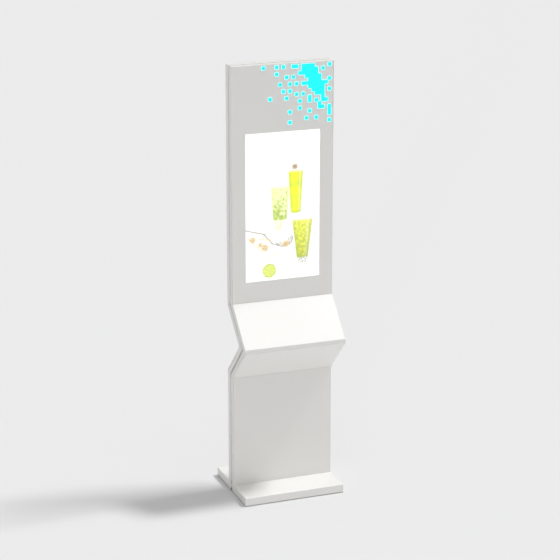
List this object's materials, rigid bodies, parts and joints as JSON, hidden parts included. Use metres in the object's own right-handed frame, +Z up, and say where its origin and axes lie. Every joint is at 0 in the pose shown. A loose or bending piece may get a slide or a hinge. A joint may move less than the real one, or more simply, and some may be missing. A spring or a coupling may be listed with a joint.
{
  "type": "touchscreen kiosk",
  "caption": "Free-standing touchscreen kiosk: a slim folded steel post with a portrait display, a sloping console, a lit pixel pattern, lockable rear doors and a low flat base.",
  "frame": {"origin": "on the floor, under the middle of the kiosk's outer box", "axes": "+Z up; -Y towards the person who uses the kiosk; +X to that person's right"},
  "size_m": [0.505, 0.427, 2.1],
  "materials": {
    "white_powder_coat": "white powder coat, satin, fine orange peel",
    "grey_powder_coat": "mid grey powder coat, matt",
    "zinc_steel": "zinc-plated sheet steel",
    "stainless": "bright stainless steel",
    "screen_glass": "clear toughened glass, polished",
    "lcd_black": "black moulded display frame",
    "foam_black": "closed-cell foam strip",
    "lit_acrylic": "cyan acrylic lit from behind",
    "circuit_board": "white solder-masked board",
    "black_plastic": "moulded black plastic, fine texture",
    "aluminium": "anodised aluminium",
    "black_rubber": "moulded black rubber",
    "cable_jacket": "extruded PVC jacket"
  },
  "bodies": {
    "root": {"display_fascia": "white_powder_coat", "console_deck": "white_powder_coat", "console_soffit": "white_powder_coat", "lower_front_panel": "white_powder_coat", "rear_slope_upper": "white_powder_coat", "rear_slope_lower": "white_powder_coat", "base_cover_front": "white_powder_coat", "base_cover_rear": "white_powder_coat", "left_side_plate": "grey_powder_coat", "right_side_plate": "grey_powder_coat", "top_plate": "grey_powder_coat", "top_rail": "zinc_steel", "upper_rail": "zinc_steel", "console_rail": "zinc_steel", "lower_rail": "zinc_steel", "lcd_chassis": "zinc_steel", "display_rail_left": "zinc_steel", "display_rail_right": "zinc_steel", "base_plate": "zinc_steel", "base_bracket_left": "zinc_steel", "base_bracket_right": "zinc_steel", "mains_panel": "zinc_steel", "upper_lock_keeper": "zinc_steel", "lower_lock_keeper": "zinc_steel", "upper_door_hinge_top_fixed": "stainless", "upper_door_hinge_bottom_fixed": "stainless", "lower_door_hinge_top_fixed": "stainless", "lower_door_hinge_bottom_fixed": "stainless", "touch_glass": "screen_glass", "lcd_panel": "lcd_black", "display_gasket": "foam_black", "pixel_light_plate": "lit_acrylic", "pixel_led_board": "circuit_board", "mains_inlet": "black_plastic", "switch_bezel": "black_plastic", "network_jack": "black_plastic", "media_player": "aluminium", "power_supply": "aluminium", "floor_strip_front": "black_rubber", "floor_strip_rear": "black_rubber", "cable_grommet": "black_rubber", "mains_lead_internal": "cable_jacket", "display_lead": "cable_jacket"},
    "upper_door": {"upper_rear_door": "white_powder_coat", "upper_lock_body": "stainless", "fan_frame": "black_plastic", "upper_door_hinge_top_leaf": "stainless", "upper_door_hinge_bottom_leaf": "stainless"},
    "lower_door": {"lower_rear_door": "white_powder_coat", "lower_lock_body": "stainless", "lower_door_hinge_top_leaf": "stainless", "lower_door_hinge_bottom_leaf": "stainless"},
    "upper_lock": {"upper_lock_plug": "stainless"},
    "lower_lock": {"lower_lock_plug": "stainless"},
    "fan": {"fan_rotor": "black_plastic"},
    "power_switch": {"power_rocker": "black_plastic"},
    "foot_1": {"leveling_foot_1": "stainless"},
    "foot_2": {"leveling_foot_2": "stainless"},
    "foot_3": {"leveling_foot_3": "stainless"},
    "foot_4": {"leveling_foot_4": "stainless"}
  },
  "joints": [
    {"name": "upper_door_hinge", "type": "hinge", "parent": "root", "child": "upper_door", "pos_m": [0.248, 0.0015, 1.5], "axis": [0, 0, 1], "range_deg": [-95, 0]},
    {"name": "lower_door_hinge", "type": "hinge", "parent": "root", "child": "lower_door", "pos_m": [0.248, 0.0015, 0.33], "axis": [0, 0, 1], "range_deg": [-95, 0]},
    {"name": "upper_lock_turn", "type": "hinge", "parent": "upper_door", "child": "upper_lock", "pos_m": [-0.215, 0.0415, 1.533], "axis": [0, 1, 0], "range_deg": [0, 90]},
    {"name": "lower_lock_turn", "type": "hinge", "parent": "lower_door", "child": "lower_lock", "pos_m": [-0.215, 0.0415, 0.319], "axis": [0, 1, 0], "range_deg": [0, 90]},
    {"name": "fan_spin", "type": "hinge", "parent": "upper_door", "child": "fan", "pos_m": [0, 0.0292, 1.91], "axis": [0, 1, 0], "continuous": true},
    {"name": "power_switch_tilt", "type": "hinge", "parent": "root", "child": "power_switch", "pos_m": [0.05, 0.0105, 0.155], "axis": [1, 0, 0], "range_deg": [0, 16]},
    {"name": "leveling_foot_1_travel", "type": "slide", "parent": "root", "child": "foot_1", "axis": [0, 0, -1], "range_m": [0, 0.012]},
    {"name": "leveling_foot_2_travel", "type": "slide", "parent": "root", "child": "foot_2", "axis": [0, 0, -1], "range_m": [0, 0.012]},
    {"name": "leveling_foot_3_travel", "type": "slide", "parent": "root", "child": "foot_3", "axis": [0, 0, -1], "range_m": [0, 0.012]},
    {"name": "leveling_foot_4_travel", "type": "slide", "parent": "root", "child": "foot_4", "axis": [0, 0, -1], "range_m": [0, 0.012]}
  ]
}
